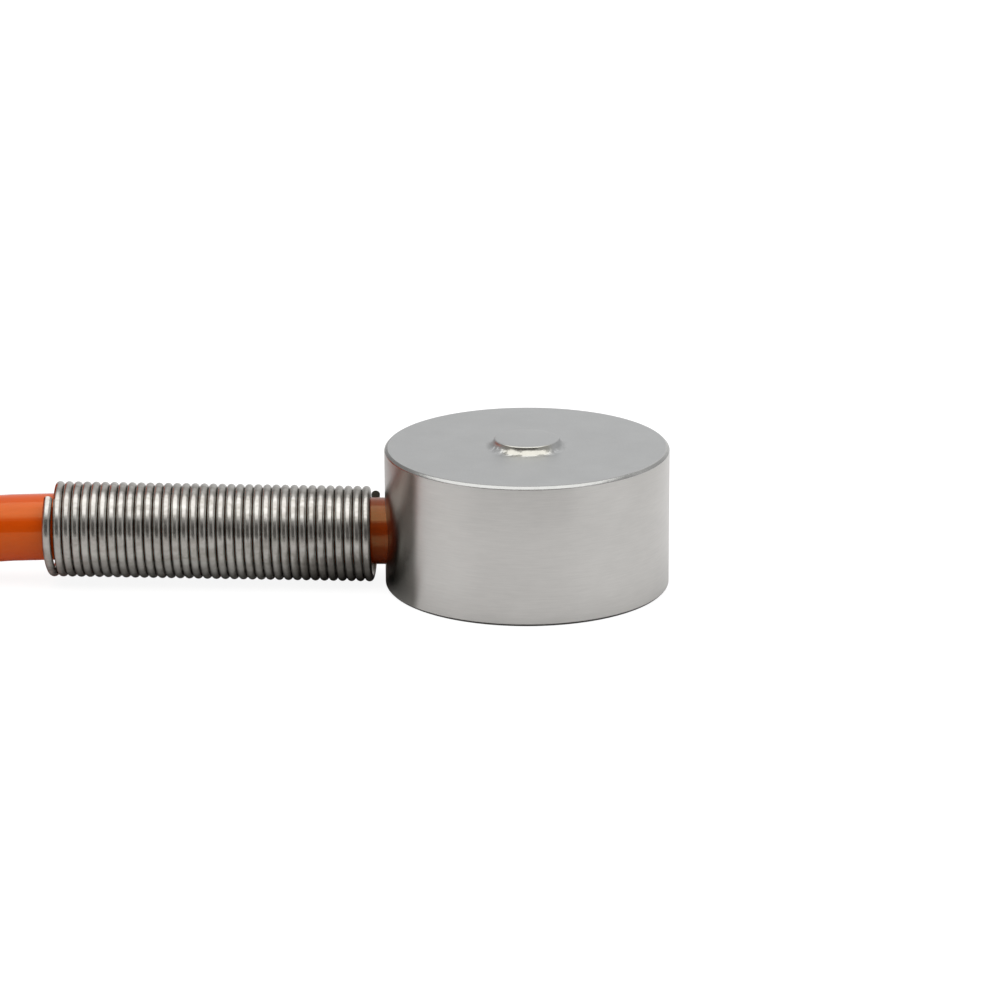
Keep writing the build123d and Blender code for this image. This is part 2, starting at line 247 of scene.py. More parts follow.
def turned_wall(name, hex_colour, roughness, left_shaded=False):
    """17-4 stainless, fine turned: lines run round the axis and smear its reflections up and down."""
    made, tree, shader = surface(name, Metallic=1.0, Roughness=roughness, Anisotropic=0.84,
                                 Anisotropic_Rotation=0.25)
    tangent = add_node(tree, "ShaderNodeTangent", direction_type="RADIAL", axis="Z")
    tree.links.new(tangent.outputs[0], shader.inputs["Tangent"])
    # tool lines 0.06 mm apart and a millimetre or two long, over a faint cloud left by handling
    lines = stretched_noise(tree, (900, 900, 16000), 4.0, 0.7)
    cloud = stretched_noise(tree, (260, 260, 420))
    steel = tinted(tree, average(tree, lines, cloud), hex_colour, 0.2, 0.2)
    dress(tree, shader, shaded_left_side(tree, steel) if left_shaded else steel, lines, 1.6 * MICRON)
    return made


def ring_mask(tree, radius, *stops):
    """A value that follows (radius in millimetres, grey hex) stops from the axis outwards."""
    outer = stops[-1][0]
    share = add_node(tree, "ShaderNodeMath", {0: radius, 1: outer * MM}, operation="DIVIDE").outputs[0]
    shares = [(at / outer, colour) for at, colour in stops]
    return add_node(tree, "ShaderNodeValToRGB", {"Fac": share}, shares).outputs["Color"]


def lapped_top(name, hex_colour):
    """The same steel, lapped flat: matt and even, with a fine speckle; the button's root is polished."""
    made, tree, shader = surface(name, Metallic=1.0)
    place = add_node(tree, "ShaderNodeTexCoord").outputs["Object"]
    flat = add_node(tree, "ShaderNodeVectorMath", {0: place, 1: (1, 1, 0)}, operation="MULTIPLY").outputs[0]
    radius = add_node(tree, "ShaderNodeVectorMath", {0: flat}, operation="LENGTH").outputs["Value"]
    foot = BUTTON_RADIUS + ROOT_RADIUS
    in_root = ring_mask(tree, radius, (0, "#000000"), (BUTTON_RADIUS - 0.06, "#000000"),
                        (BUTTON_RADIUS, "#FFFFFF"), (BUTTON_RADIUS + 0.2, "#FFFFFF"), (foot, "#000000"))
    plain = add_node(tree, "ShaderNodeMapRange",
                     {"Value": radius, "From Min": BUTTON_RADIUS * MM, "From Max": foot * MM,
                      "To Min": CROWN_ROUGHNESS, "To Max": LAPPED_ROUGHNESS}).outputs[0]
    # the polishing stick reaches the root's left and right less well than its front and back
    reached = between(tree, distance_aside(tree, "X"), *ROOT_REACH)
    polished = add_node(tree, "ShaderNodeMath", {0: reached, 1: in_root}, operation="MULTIPLY").outputs[0]
    rough = add_node(tree, "ShaderNodeMix", {"Factor": polished, "A": plain, "B": ROOT_ROUGHNESS})
    tree.links.new(rough.outputs[0], shader.inputs["Roughness"])
    # grit marks 0.08 mm wide
    speckle = stretched_noise(tree, (12000, 12000, 12000), 3.0, 0.7)
    cloud = stretched_noise(tree, (700, 700, 700))
    steel = tinted(tree, average(tree, speckle, cloud), hex_colour, 0.14, 0.14)
    # the root is painted a darker, yellowish tone: painted shade and tint that dim the bright crescent of
    # light it mirrors
    colour = add_node(tree, "ShaderNodeMix", {"Factor": polished, 6: steel, 7: linear("#ADABA3")},
                      data_type="RGBA")
    # tool dents left low in the root, 0.4 mm across
    dents = stretched_noise(tree, (2200, 2200, 2200), 2.0, 0.5)
    dented = ring_mask(tree, radius, (0, "#000000"), (BUTTON_RADIUS + 0.03, "#000000"),
                       (BUTTON_RADIUS + 0.13, "#FFFFFF"), (foot - 0.1, "#FFFFFF"), (foot + 0.1, "#000000"))
    first = add_node(tree, "ShaderNodeBump",
                     {"Height": dents, "Distance": 100 * MICRON, "Strength": dented})
    dress(tree, shader, colour.outputs[2], speckle, 1.5 * MICRON, first.outputs[0])
    return made


def polished_edge(name, hex_colour, roughness, spacing, undimmed_hex=None):
    """The same steel, polished by hand: bright and uneven; its base, darker than the wall's, is painted
    shade that dims its highlight, and it is lighter at the right if that has its colour.
    """
    made, tree, shader = surface(name, Metallic=1.0, Roughness=roughness)
    # dents 0.2 to 0.3 mm across
    dents = stretched_noise(tree, (spacing, spacing, spacing), 3.0, 0.6)
    steel = tinted(tree, dents, hex_colour, 0.1, 0.1)
    if undimmed_hex:
        undimmed = between(tree, object_axis(tree, "X"), *UNDIMMED_EDGE)
        steel = add_node(tree, "ShaderNodeMix", {"Factor": undimmed, 6: steel, 7: linear(undimmed_hex)},
                         data_type="RGBA").outputs[2]
    dress(tree, shader, steel, dents, 10 * MICRON)
    return made


def drawn_spring_wire():
    """Stainless music wire, cold drawn: satin bright, with fine lines and a thin brown film."""
    made, tree, shader = surface("drawn_spring_wire", Metallic=1.0, Roughness=0.26)
    # film patches a millimetre long, and draw lines 0.04 mm apart, coarser than real ones so that they show
    film = stretched_noise(tree, (900, 2500, 2500), 4.0, 0.65)
    tones = ((0.3, "#97938D"), (0.55, "#B3B0AB"), (0.75, "#C2C0BB"))
    drawn = add_node(tree, "ShaderNodeValToRGB", {"Fac": film}, tones).outputs["Color"]
    # painted shade: the last turn's flank that faces the body is darkened as the slot keeps the light from
    # it
    last_turn = -(BODY_RADIUS + SPRING_WALL_GAP + SPRING_WIRE / 2)
    steel = slot_shade(tree, drawn, last_turn, last_turn + SPRING_WIRE / 3)
    dress(tree, shader, steel, stretched_noise(tree, (26000, 5000, 5000), 4.0, 0.7), 2 * MICRON)
    return made


def wire_end_shade():
    """The end of the wire where it was cut off: rough, and near black as painted shade."""
    made, tree, shader = surface("wire_end_shade", Metallic=1.0, Roughness=0.55)
    # torn grains 0.1 mm across
    tone = stretched_noise(tree, (9000, 9000, 9000))
    dark = add_node(tree, "ShaderNodeValToRGB", {"Fac": tone}, ((0.3, "#26241F"), (0.7, "#3C3933")))
    dress(tree, shader, dark.outputs["Color"], tone, 10 * MICRON)
    return made


def cable_jacket():
    """Polyurethane jacket, extruded: saturated orange, smooth and glossy, with faint lines along it."""
    made, tree, shader = surface("cable_jacket", Roughness=0.14, IOR=1.46, Specular_IOR_Level=0.75,
                                 Specular_Tint=linear("#FAE2A0"))
    # shade changes over 4 mm along the cable, and draw lines 0.3 mm apart
    mottle = stretched_noise(tree, (250, 700, 700), 4.0, 0.6)
    orange = add_node(tree, "ShaderNodeValToRGB", {"Fac": mottle}, ((0.3, "#CB4703"), (0.7, "#D85106")))
    # painted shade: the jacket is darkened where it lies in the slot between the spring and the body
    slot = -(BODY_RADIUS + SPRING_WALL_GAP)
    colour = slot_shade(tree, orange.outputs["Color"], slot - SPRING_WIRE, slot + SPRING_WIRE / 3)
    dress(tree, shader, colour, stretched_noise(tree, (90, 3200, 3200), 3.0, 0.6), 20 * MICRON)
    return made


def wire_insulation(name, hex_colour):
    """Fluoropolymer wire insulation, extruded: saturated, waxy and smooth."""
    made, tree, shader = surface(name, Roughness=0.3, IOR=1.38)
    # shade changes over 1.1 mm, and ripples 0.3 mm across
    tone = stretched_noise(tree, (900, 900, 900), 3.0, 0.5)
    colour = tinted(tree, tone, hex_colour, 0.15, 0.12)
    dress(tree, shader, colour, stretched_noise(tree, (3000, 3000, 3000)), 4 * MICRON)
    return made


def plain_metal(name, hex_colour, roughness):
    """A metal with its own grain of small tone and height changes."""
    made, tree, shader = surface(name, Metallic=1.0, Roughness=roughness)
    # grains 0.25 mm across, drawn coarse so that they show
    grain = stretched_noise(tree, (4000, 4000, 4000))
    dress(tree, shader, tinted(tree, grain, hex_colour, 0.15, 0.1), grain, 4 * MICRON)
    return made


def gauge_film():
    """Amber polyimide carrier over a grid of etched constantan foil, told apart by height."""
    made, tree, shader = surface("gauge_film", Roughness=0.35)
    foil_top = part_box("strain_gauge_1")[0].z + 0.021 * MM
    is_foil = add_node(tree, "ShaderNodeMath", {0: object_axis(tree, "Z"), 1: foil_top},
                       operation="LESS_THAN").outputs[0]
    mix = add_node(tree, "ShaderNodeMix", {"Factor": is_foil, 6: linear("#B87A22"), 7: linear("#A9794F")},
                   data_type="RGBA")
    tree.links.new(is_foil, shader.inputs["Metallic"])
    dress(tree, shader, mix.outputs[2], stretched_noise(tree, (3000, 3000, 3000)), 2 * MICRON)
    return made


def board_laminate():
    """Glass-epoxy laminate under green solder mask, with the weave just showing."""
    made, tree, shader = surface("board_laminate", Roughness=0.4, IOR=1.5)
    # glass threads 0.25 mm apart
    weave = add_node(tree, "ShaderNodeTexChecker",
                     {"Vector": add_node(tree, "ShaderNodeTexCoord").outputs["Object"],
                      "Color1": linear("#1E5A34"), "Color2": linear("#246540"), "Scale": 4000.0})
    dress(tree, shader, weave.outputs["Color"], stretched_noise(tree, (5000, 5000, 5000)), 3 * MICRON)
    return made


def resistor_ceramic():
    """Thick-film chip resistor: black glaze over white alumina, with tinned caps at both ends."""
    made, tree, shader = surface("resistor_ceramic", Roughness=0.35)
    # each resistor lies 1 mm from the part's middle, and its caps start 0.5 mm from its own
    off_centre = add_node(tree, "ShaderNodeMath", {0: distance_aside(tree, "Y"), 1: 1.0 * MM},
                          operation="SUBTRACT").outputs[0]
    apart = add_node(tree, "ShaderNodeMath", {0: off_centre}, operation="ABSOLUTE").outputs[0]
    is_cap = add_node(tree, "ShaderNodeMath", {0: apart, 1: 0.5 * MM}, operation="GREATER_THAN").outputs[0]
    mix = add_node(tree, "ShaderNodeMix", {"Factor": is_cap, 6: linear("#1B1D22"), 7: linear("#BFBFBD")},
                   data_type="RGBA")
    tree.links.new(is_cap, shader.inputs["Metallic"])
    dress(tree, shader, mix.outputs[2], stretched_noise(tree, (6000, 6000, 6000)), 3 * MICRON)
    return made


def seal_resin():
    """Epoxy sealing bead, cast: dark amber and glossy."""
    made, tree, shader = surface("seal_resin", Roughness=0.15, IOR=1.55)
    # cloudy patches 0.7 mm across
    tone = stretched_noise(tree, (1500, 1500, 1500))
    amber = add_node(tree, "ShaderNodeValToRGB", {"Fac": tone}, ((0.3, "#3A2410"), (0.7, "#5A3B1A")))
    dress(tree, shader, amber.outputs["Color"], tone, 10 * MICRON)
    return made


def tie_plastic():
    """Plasticised vinyl ribbon over a steel wire, extruded: black and softly glossy."""
    made, tree, shader = surface("tie_plastic", Roughness=0.38, IOR=1.5)
    # scuffs 1.7 mm across, and pores 0.25 mm apart
    tone = stretched_noise(tree, (600, 600, 600))
    black = add_node(tree, "ShaderNodeValToRGB", {"Fac": tone}, ((0.3, "#161616"), (0.7, "#262626")))
    dress(tree, shader, black.outputs["Color"], stretched_noise(tree, (4000, 4000, 4000)), 6 * MICRON)
    return made


# Meshes

def new_object(name, data, *materials):
    """An object at the origin that holds the data and its materials."""
    made = bpy.data.objects.new(name, data)
    bpy.context.scene.collection.objects.link(made)
    for material in materials:
        data.materials.append(material)
    return made


def smooth(mesh, sharp_degrees=30):
    """Smooth shading, apart from edges sharper than the angle."""
    mesh.shade_smooth()
    mesh.set_sharp_from_angle(angle=math.radians(sharp_degrees))


def arc(centre, radius, first, last, steps):
    """Points of an arc in the (radius, height) plane, with angles in degrees."""
    return [
        (centre[0] + radius * math.cos(math.radians(first + (last - first) * i / steps)),
         centre[1] + radius * math.sin(math.radians(first + (last - first) * i / steps)))
        for i in range(steps + 1)
    ]


def eased(before, corner, after, size, steps=4):
    """A corner rounded by a curve that starts and ends that far from it."""
    corner = Vector(corner)
    start = corner + (Vector(before) - corner).normalized() * size
    end = corner + (Vector(after) - corner).normalized() * size
    points = []
    for i in range(steps + 1):
        t = i / steps
        points.append(tuple(start * (1 - t) ** 2 + corner * 2 * t * (1 - t) + end * t ** 2))
    return points


def as_mesh(name, shape):
    """The shape as a mesh; the shape itself is let go."""
    mesh = bpy.data.meshes.new(name)
    shape.to_mesh(mesh)
    shape.free()
    return mesh


def turned(name, profile, material, segments=256):
    """A profile of (radius, height) points in millimetres, turned round the Z axis."""
    shape = bmesh.new()
    ring = [shape.verts.new((r * MM, 0, z * MM)) for r, z in profile]
    lines = [shape.edges.new(pair) for pair in zip(ring, ring[1:])]
    bmesh.ops.spin(shape, geom=ring + lines, cent=(0, 0, 0), axis=(0, 0, 1), angle=math.tau, steps=segments)
    bmesh.ops.remove_doubles(shape, verts=shape.verts, dist=1e-7)
    bmesh.ops.recalc_face_normals(shape, faces=shape.faces)
    return new_object(name, as_mesh(name, shape), material)


def cut_bore(piece, radius, inner_x):
    """Cuts the cable's bore through the wall on the -X side."""
    shape = bmesh.new()
    length = (BODY_RADIUS + inner_x + BORE_OUTWARDS) * MM
    middle = Matrix.Translation((inner_x * MM - length / 2, 0, CABLE_Z * MM))
    place = middle @ Matrix.Rotation(math.pi / 2, 4, "Y")
    bmesh.ops.create_cone(shape, cap_ends=True, segments=96, radius1=radius * MM, radius2=radius * MM,
                          depth=length, matrix=place)
    cutter = new_object("bore_cutter", as_mesh("bore_cutter", shape))
    boolean = piece.modifiers.new("bore", "BOOLEAN")
    boolean.object = cutter
    boolean.operation = "DIFFERENCE"
    boolean.solver = "EXACT"
    apply_modifiers(piece)
    bpy.data.objects.remove(cutter)


def apply_modifiers(piece):
    """Replaces the piece's mesh by its evaluated one and takes its modifiers off."""
    graph = bpy.context.evaluated_depsgraph_get()
    result = bpy.data.meshes.new_from_object(piece.evaluated_get(graph), preserve_all_data_layers=True,
                                             depsgraph=graph)
    piece.modifiers.clear()
    piece.data = result


def belongs(piece, slot, *replaced):
    """The piece rides on the body and stands for the CAD nodes, which it hides; the slot is not used."""
    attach(piece, "root")
    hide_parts(*replaced)
    return piece


def body_profile():
    """The body's section, from the crown of the button round to the underside of the web."""
    rim = (BUTTON_RADIUS, BODY_TOP + BUTTON_RIM)
    root_angle = math.degrees(math.asin((ROOT_RADIUS - BUTTON_RIM) / ROOT_RADIUS))
    root_x = BUTTON_RADIUS + ROOT_RADIUS * math.cos(math.radians(root_angle))
    root = arc((root_x, BODY_TOP + ROOT_RADIUS), ROOT_RADIUS, 180 + root_angle, 270, ROOT_STEPS)
    rise = BUTTON_HEIGHT - BUTTON_RIM
    crown_radius = (BUTTON_RADIUS ** 2 + rise ** 2) / (2 * rise)
    rim_angle = math.degrees(math.asin(BUTTON_RADIUS / crown_radius))
    crown = arc((0, BUTTON_TOP - crown_radius), crown_radius, 90, 90 - rim_angle, CROWN_STEPS)
    inner = BODY_RADIUS - WALL
    upper = inner - LEDGE_WIDTH
    web_z = BODY_TOP - WEB
    ledge_z = web_z - LEDGE_DROP
    seat_z = COVER_RECESS + COVER_THICKNESS
    recess = inner + COVER_SEAT
    side_top = (BODY_RADIUS, BODY_TOP - RIM_CHAMFER)
    face_edge = (BODY_RADIUS - RIM_CHAMFER, BODY_TOP)
    side_foot = (BODY_RADIUS, EDGE_CHAMFER)
    foot = (BODY_RADIUS - EDGE_CHAMFER, 0)
    return [
        *crown[:-1],
        *eased(crown[-2], rim, root[1], BUTTON_EASE),
        *root[2:],
        (TOP_RING, BODY_TOP),
        *eased((0, BODY_TOP), face_edge, side_top, EDGE_EASE),
        *eased(face_edge, side_top, side_foot, EDGE_EASE),
        *eased(side_top, side_foot, foot, EDGE_EASE),
        *eased(side_foot, foot, (0, 0), EDGE_EASE),
        (recess, 0),
        (recess, seat_z),
        (inner, seat_z),
        (inner, ledge_z),
        (upper, ledge_z),
        (upper, web_z),
        (0, web_z),
    ]


def dress_faces(piece, choose, *materials):
    """Gives each face the material that choose(centre, normal) names by its number."""
    piece.data.materials.clear()
    for material in materials:
        piece.data.materials.append(material)
    for face in piece.data.polygons:
        face.material_index = choose(face.center / MM, face.normal)


WALL_FINISH, TOP_FINISH, EDGE_FINISH, BASE_EDGE_FINISH = range(4)
# The edges' finish starts this far inside the wall's radius, on faces that lean at least so much up or down
EDGE_INSET = RIM_CHAMFER + 0.03
RIM_LEAN = 0.4
BASE_LEAN = -0.1


def body_finish(centre, normal):
    """The wall is turned, the top lapped, the upper edge polished and the lower one left as it was cut; the
    lower edge's dark colour is painted shade.
    """
    radius = math.hypot(centre.x, centre.y)
    if centre.z > BODY_TOP - 0.01 and radius < BODY_RADIUS - EDGE_INSET:
        return TOP_FINISH
    if radius > BODY_RADIUS - EDGE_INSET:
        if normal.z > RIM_LEAN:
            return EDGE_FINISH
        if normal.z < BASE_LEAN:
            return BASE_EDGE_FINISH
    return WALL_FINISH


def make_body():
    """The turned body with its side bore, each of its surfaces with its own finish."""
    # the wall, with painted shade on its left side where the cable leaves
    wall = turned_wall("turned_wall", "#D0CECB", WALL_ROUGHNESS, left_shaded=True)
    top = lapped_top("lapped_top", "#BFC0C0")
    # the rim's base colour is painted shade that dims its overhead highlight, less so at the right
    edge = polished_edge("polished_edge", "#A5A5A3", 0.24, 3200, "#C6C6C4")
    # the edge at the foot is painted dark: painted shade of the contact shadow that it mirrors
    base_edge = polished_edge("base_edge_shade", "#5E5C59", 0.4, 5000)
    piece = turned("sensing_body_turned", body_profile(), wall)
    cut_bore(piece, CABLE_RADIUS + BORE_GAP, -(BODY_RADIUS - WALL) + BORE_INWARDS)
    smooth(piece.data)
    dress_faces(piece, body_finish, wall, top, edge, base_edge)
    belongs(piece, "body_stainless", "sensing_body")


def make_cover(steel):
    """The base cover, a disc with a small chamfer on its outer face."""
    radius = BODY_RADIUS - WALL + COVER_SEAT - COVER_GAP
    low, high = COVER_RECESS, COVER_RECESS + COVER_THICKNESS
    profile = [(0, high), (radius, high), (radius, low + COVER_CHAMFER), (radius - COVER_CHAMFER, low),
               (COVER_RING, low), (0, low)]
    piece = turned("bottom_cover_disc", profile, steel, 192)
    smooth(piece.data)
    belongs(piece, "cover_stainless", "bottom_cover")


# Spring

def geometry_tree(name, sockets):
    """A Geometry Nodes tree with one mesh output and named inputs of (socket type, value)."""
    tree = bpy.data.node_groups.new(name, "GeometryNodeTree")
    tree.interface.new_socket("Geometry", in_out="OUTPUT", socket_type="NodeSocketGeometry")
    for socket, (kind, value) in sockets.items():
        made = tree.interface.new_socket(socket, in_out="INPUT", socket_type=kind)
        if value is not None:
            made.default_value = value
    return tree


def grow(name, tree, material, values):
    """The mesh that the tree makes with those input values, as a plain object."""
    made = new_object(name, bpy.data.meshes.new(name), material)
    modifier = made.modifiers.new(name, "NODES")
    modifier.node_group = tree
    for item in tree.interface.items_tree:
        if item.item_type == "SOCKET" and item.in_out == "INPUT" and item.name in values:
            modifier[item.identifier] = values[item.name]
    apply_modifiers(made)
    return made


def spring_tree():
    """A helix of round wire that stands on the origin; its first part turn bulges away from the next."""
    tree = geometry_tree("close_wound_spring", {
        "Radius": ("NodeSocketFloat", 0.0),
        "Pitch": ("NodeSocketFloat", 0.0),
        "Turns": ("NodeSocketFloat", 0.0),
        "Wire Radius": ("NodeSocketFloat", 0.0),
        "End Opening": ("NodeSocketFloat", 0.0),
        "Opened Turn": ("NodeSocketFloat", 0.0),
        "Wire Material": ("NodeSocketMaterial", None),
    })
    given = add_node(tree, "NodeGroupInput").outputs
    height = add_node(tree, "ShaderNodeMath", {0: given["Pitch"], 1: given["Turns"]}, operation="MULTIPLY")
    helix = add_node(tree, "GeometryNodeCurveSpiral", {
        "Resolution": 72, "Rotations": given["Turns"], "Start Radius": given["Radius"],
        "End Radius": given["Radius"], "Height": height.outputs[0], "Reverse": True,
    })
    along = add_node(tree, "GeometryNodeSplineParameter").outputs["Factor"]
    turn = add_node(tree, "ShaderNodeMath", {0: along, 1: given["Turns"]}, operation="MULTIPLY").outputs[0]
    phase = add_node(tree, "ShaderNodeMapRange",
                     {"Value": turn, "From Max": given["Opened Turn"], "To Min": SPRING_OPENED_PHASE,
                      "To Max": math.pi}).outputs[0]
    wave = add_node(tree, "ShaderNodeMath", {0: phase}, operation="SINE").outputs[0]
    bend = add_node(tree, "ShaderNodeMath", {0: wave, 1: 2.0}, operation="POWER").outputs[0]
    drop = add_node(tree, "ShaderNodeMath", {0: bend, 1: given["End Opening"]}, operation="MULTIPLY")
    down = add_node(tree, "ShaderNodeMath", {0: drop.outputs[0], 1: -1.0}, operation="MULTIPLY")
    shift = add_node(tree, "ShaderNodeCombineXYZ", {"Z": down.outputs[0]}).outputs[0]
    opened = add_node(tree, "GeometryNodeSetPosition", {"Geometry": helix.outputs[0], "Offset": shift})
    section = add_node(tree, "GeometryNodeCurvePrimitiveCircle",
                       {"Resolution": 18, "Radius": given["Wire Radius"]})
    wire = add_node(tree, "GeometryNodeCurveToMesh", {
        "Curve": opened.outputs[0], "Profile Curve": section.outputs[0], "Fill Caps": True,
    })
    smoothed = add_node(tree, "GeometryNodeSetShadeSmooth", {"Geometry": wire.outputs[0]})
    plain = add_node(tree, "GeometryNodeRealizeInstances", {"Geometry": smoothed.outputs[0]})
    dressed = add_node(tree, "GeometryNodeSetMaterial",
                       {"Geometry": plain.outputs[0], "Material": given["Wire Material"]})
    add_node(tree, "NodeGroupOutput", {"Geometry": dressed.outputs[0]})
    return tree


def make_spring(wire, cut_end):
    """The strain relief spring, laid along the cable from its far end to the body."""
    piece = grow("strain_relief_wire", spring_tree(), wire, {
        "Radius": SPRING_RADIUS * MM,
        "Pitch": SPRING_PITCH * MM,
        "Turns": SPRING_TURNS,
        "Wire Radius": SPRING_WIRE / 2 * MM,
        "End Opening": SPRING_OPENING * MM,
        "Opened Turn": SPRING_OPENED_TURN,
        "Wire Material": wire,
    })
    axis = Vector((math.cos(SPRING_TILT), 0, -math.sin(SPRING_TILT)))
    up = Vector((-axis.z, 0, axis.x))
    start = Quaternion(axis, SPRING_START) @ up
    body_end = Vector((-(BODY_RADIUS + SPRING_WALL_GAP), 0, CABLE_Z - SPRING_SAG)) * MM
    far_end = body_end - axis * SPRING_TURNS * SPRING_PITCH * MM
    place = Matrix((start, axis.cross(start), axis)).transposed().to_4x4()
    piece.data.transform(Matrix.Translation(far_end) @ place)
    piece.data.materials.append(cut_end)
    # the wire's two ends are its only faces with more than four corners
    for face in piece.data.polygons:
        if len(face.vertices) > 4:
            face.material_index = 1
            face.use_smooth = False
    return belongs(piece, "spring_steel", "strain_relief_spring")


# Cable

CABLE_ROUTE = (
    (CABLE_START_X, 0, CABLE_Z),
    (-7.5, 0, CABLE_Z),
    (-15.5, 0, 2.475),
    (-23.5, 0, 2.56),
    (-28.5, 0, 1.85),
    (-33.0, 0, 1.5),
    (-36.5, 0, COIL_FIRST_Z),
    (-39.0, 0, COIL_FIRST_Z),
)
COIL_POINTS_PER_TURN = 24
# The column in which each turn starts, counted from the inside; the last is a part turn
COIL_TURNS = (3, 2, 1, 0, 0, 1, 2, 3, 3, 2, 1, 0, 0, 1, 2, 3, 3, 2, 1)
LAST_TURN = 97.0
# How far a turn that climbs a layer swings out of the stack, to let its neighbours pass
COIL_BULGE = 1.3
# Where in its turn the cable starts to change column or layer, in degrees
CHANGE_START = 295.0
END_ANGLE = -90 - LAST_TURN
TOP_Z = COIL_FIRST_Z + 4 * COIL_LAYER
# The leads' route, at steps along their length: how far they have spread, moved towards the coil's axis, in
# millimetres, and come down to LEAD_FLOOR. Then each lead's side and row in the cable and place in the fan.
LEAD_STEPS = (0.0, 0.3, 0.68, 1.0)
LEAD_SPREAD = (0.0, 0.5, 1.0, 1.0)
LEAD_INSET = (0.0, 0.5, 1.3, 2.0)
LEAD_DIP = (0.0, 0.1, 0.9, 1.0)
LEAD_FAN = 1.15
LEAD_LENGTH = 14.0
LEAD_FLOOR = TOP_Z - COIL_LAYER + CABLE_RADIUS + CORE_RADIUS + 0.02
LEADS = {"red": (1, 1, 1.5), "black": (-1, 1, -1.5), "green": (1, -1, 0.5), "white": (-1, -1, -0.5)}
# The twisted pieces: rings along each, and points of each ring round one strand
TWIST_STEPS = 64
STRAND_POINTS = 8
# The tie's path round the coil's section, as distances from the coil's axis and heights, and its ribbon's
# section, a flat band with a wire in the middle, as distances across and outwards
TIE_ANGLE = 210
TIE_PATH = ((10.524, 0.35), (22.82, 0.35), (22.82, 15.51), (13.598, 15.51), (10.524, 12.48))
TIE_SECTION = (
    (-1.5, 0.1), (-1.42, 0.03), (1.42, 0.03), (1.5, 0.1), (1.5, 0.18), (1.42, 0.25), (0.32, 0.25),
    (0.2, 0.33), (0, 0.35), (-0.2, 0.33), (-0.32, 0.25), (-1.42, 0.25), (-1.5, 0.18),
)
TIE_BEND = 1.0
TIE_TWIST = ((22.9, 6.23), (29.17, 6.23))
TIE_TWIST_RADIUS = 0.45
TIE_TWIST_GROOVE = 0.17
TIE_TWIST_PITCH = 2.4


def eased_step(value, first, last):
    """0 before first, 1 after last and a smooth rise between."""
    t = min(1, max(0, (value - first) / (last - first)))
    return t * t * (3 - 2 * t)


def turn_angles(end):
    """The angles of one turn's points, in degrees from its start, up to its end."""
    step = 360 / COIL_POINTS_PER_TURN
    return [step * i for i in range(math.ceil(end / step))]


def coil_points():
    """The coil's turns, clockwise from above, from the point where the cable meets its outer turn."""
    swell = 1 / math.cos(math.pi / COIL_POINTS_PER_TURN)
    points = []
    layer = 0
    for turn, column in enumerate(COIL_TURNS):
        last = turn == len(COIL_TURNS) - 1
        following = column if last else COIL_TURNS[turn + 1]
        climbs = not last and following == column
        for gone in turn_angles(LAST_TURN if last else 360):
            change = eased_step(gone, CHANGE_START, 360)
            rise = change if climbs else 0
            bulge = COIL_BULGE * 4 * rise * (1 - rise) * (1 if column else -1)
            radius = COIL_COLUMNS[column] * (1 - change) + COIL_COLUMNS[following] * change + bulge
            angle = math.radians(-90 - gone)
            points.append(COIL_CENTRE + Vector((
                radius * swell * math.cos(angle),
                radius * swell * math.sin(angle),
                COIL_FIRST_Z + (layer + rise) * COIL_LAYER,
            )))
        layer += climbs
    return points + [coil_place(END_ANGLE, COIL_COLUMNS[COIL_TURNS[-1]], COIL_FIRST_Z + layer * COIL_LAYER)]


def coil_place(angle, radius, height):
    """A point beside the coil's axis, with the angle in degrees from +X, in millimetres."""
    turn = math.radians(angle)
    return COIL_CENTRE + Vector((radius * math.cos(turn), radius * math.sin(turn), height))


def nurbs(name, points, radius, material, sides, steps):
    """A smooth round curve along control points in millimetres."""
    curve = bpy.data.curves.new(name, "CURVE")
    curve.dimensions = "3D"
    spline = curve.splines.new("NURBS")
    spline.points.add(len(points) - 1)
    for place, point in zip(spline.points, points):
        place.co = (*(Vector(point) * MM), 1)
    spline.order_u = 3
    spline.use_endpoint_u = True
    spline.resolution_u = steps
    curve.resolution_u = steps
    curve.bevel_depth = radius * MM
    curve.bevel_resolution = sides
    curve.use_fill_caps = True
    return new_object(name, curve, material)


def lead_points(side, row, fan):
    """The route of one stripped lead, from the end of the jacket to where its bare tip starts."""
    radius = COIL_COLUMNS[1]
    sweep = math.degrees(LEAD_LENGTH / radius)
    start_z = TOP_Z + row * CORE_OFFSET
    points = []
    for step, spread, inset, dip in zip(LEAD_STEPS, LEAD_SPREAD, LEAD_INSET, LEAD_DIP):
        aside = side * CORE_OFFSET * (1 - spread) + fan * LEAD_FAN * spread - inset
        height = start_z + dip * (LEAD_FLOOR - start_z)
        points.append(coil_place(END_ANGLE - step * sweep, radius + aside, height))
    return points


def make_leads(insulation, tinned):
    """The four leads at the far end and the tinned tip of each."""
    made = []
    for name, place in LEADS.items():
        route = lead_points(*place)
        lead = nurbs(f"lead_{name}_wire", route, CORE_RADIUS, insulation[name], sides=4, steps=12)
        made.append(belongs(lead, f"wire_{name}", f"lead_{name}"))
    return [*made, make_tips(tinned)]


def skin(shape, rings, closed=False):
    """Joins rings of points in millimetres by faces, in a circle or with a cap at each end."""
    made = [[shape.verts.new(point * MM) for point in ring] for ring in rings]
    for ring, following in zip(made, made[1:] + made[:1] if closed else made[1:]):
        for i, vert in enumerate(ring):
            shape.faces.new((ring[i - 1], vert, following[i], following[i - 1]))
    if not closed:
        shape.faces.new(made[0])
        shape.faces.new(made[-1])


